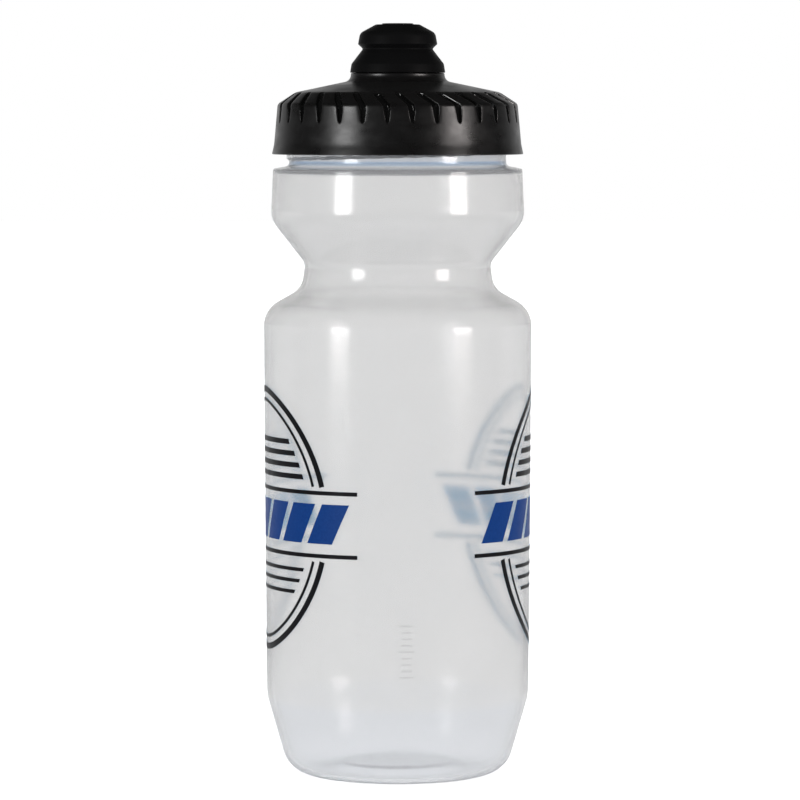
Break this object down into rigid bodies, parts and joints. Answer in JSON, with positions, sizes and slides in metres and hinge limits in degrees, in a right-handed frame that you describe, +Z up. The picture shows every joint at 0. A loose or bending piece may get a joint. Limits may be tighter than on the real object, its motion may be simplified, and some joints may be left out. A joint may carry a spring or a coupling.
{
  "type": "water bottle",
  "caption": "Translucent squeeze bottle for a bicycle cage, with a finger waist, a black screw lid with a swirl-grooved shoulder, and a push-pull drinking nozzle.",
  "frame": {"origin": "centre of the base's foot ring, on the surface that the bottle stands on", "axes": "+Z up the bottle's axis, towards the nozzle. -Y is the side in front"},
  "size_m": [0.0738, 0.0738, 0.207],
  "materials": {
    "bottle_plastic": "translucent natural low-density polyethylene, satin",
    "lid_plastic": "black polypropylene, satin",
    "nozzle_core_plastic": "black polypropylene, satin",
    "plug_plastic": "black polypropylene, satin",
    "retainer_plastic": "black polypropylene, satin",
    "grip_rubber": "black thermoplastic elastomer, matt",
    "gasket_foam": "pale grey thermoplastic elastomer, matt",
    "seal_rubber": "black nitrile rubber, satin",
    "valve_silicone": "clear silicone rubber, satin"
  },
  "bodies": {
    "bottle": {"bottle_body": "bottle_plastic"},
    "gasket": {"lid_gasket": "gasket_foam"},
    "lid": {"lid_shell": "lid_plastic", "spout_plug": "plug_plastic"},
    "spout_seal": {"spout_o_ring": "seal_rubber"},
    "nozzle": {"nozzle_core": "nozzle_core_plastic", "nozzle_grip": "grip_rubber", "valve_ring": "valve_silicone", "valve_retainer": "retainer_plastic"},
    "petal_1": {"valve_petal_1": "valve_silicone"},
    "petal_2": {"valve_petal_2": "valve_silicone"},
    "petal_3": {"valve_petal_3": "valve_silicone"},
    "petal_4": {"valve_petal_4": "valve_silicone"}
  },
  "joints": [
    {"name": "lid_rise", "type": "slide", "parent": "bottle", "child": "gasket", "axis": [0, 0, 1], "range_m": [0, 0.0201]},
    {"name": "lid_turn", "type": "hinge", "parent": "gasket", "child": "lid", "pos_m": [0, 0, 0.1708], "axis": [0, 0, 1], "range_deg": [0, 1440]},
    {"name": "nozzle_spin", "type": "hinge", "parent": "lid", "child": "spout_seal", "pos_m": [0, 0, 0.1936], "axis": [0, 0, 1], "continuous": true},
    {"name": "nozzle_pull", "type": "slide", "parent": "spout_seal", "child": "nozzle", "axis": [0, 0, 1], "range_m": [0, 0.0058]},
    {"name": "petal_1_bend", "type": "hinge", "parent": "nozzle", "child": "petal_1", "pos_m": [0.0023, 0, 0.2044], "axis": [0, 1, 0], "range_deg": [0, 55], "stiffness_Nm_per_rad": 0.000005},
    {"name": "petal_2_bend", "type": "hinge", "parent": "nozzle", "child": "petal_2", "pos_m": [0, 0.0023, 0.2044], "axis": [-1, 0, 0], "range_deg": [0, 55], "stiffness_Nm_per_rad": 0.000005},
    {"name": "petal_3_bend", "type": "hinge", "parent": "nozzle", "child": "petal_3", "pos_m": [-0.0023, 0, 0.2044], "axis": [0, -1, 0], "range_deg": [0, 55], "stiffness_Nm_per_rad": 0.000005},
    {"name": "petal_4_bend", "type": "hinge", "parent": "nozzle", "child": "petal_4", "pos_m": [0, -0.0023, 0.2044], "axis": [1, 0, 0], "range_deg": [0, 55], "stiffness_Nm_per_rad": 0.000005}
  ],
  "couplings": [
    {"joint": "lid_rise", "follows": "lid_turn", "m_per_rad": 0.00079577},
    {"joint": "petal_2_bend", "follows": "petal_1_bend", "ratio": 1},
    {"joint": "petal_3_bend", "follows": "petal_1_bend", "ratio": 1},
    {"joint": "petal_4_bend", "follows": "petal_1_bend", "ratio": 1}
  ]
}
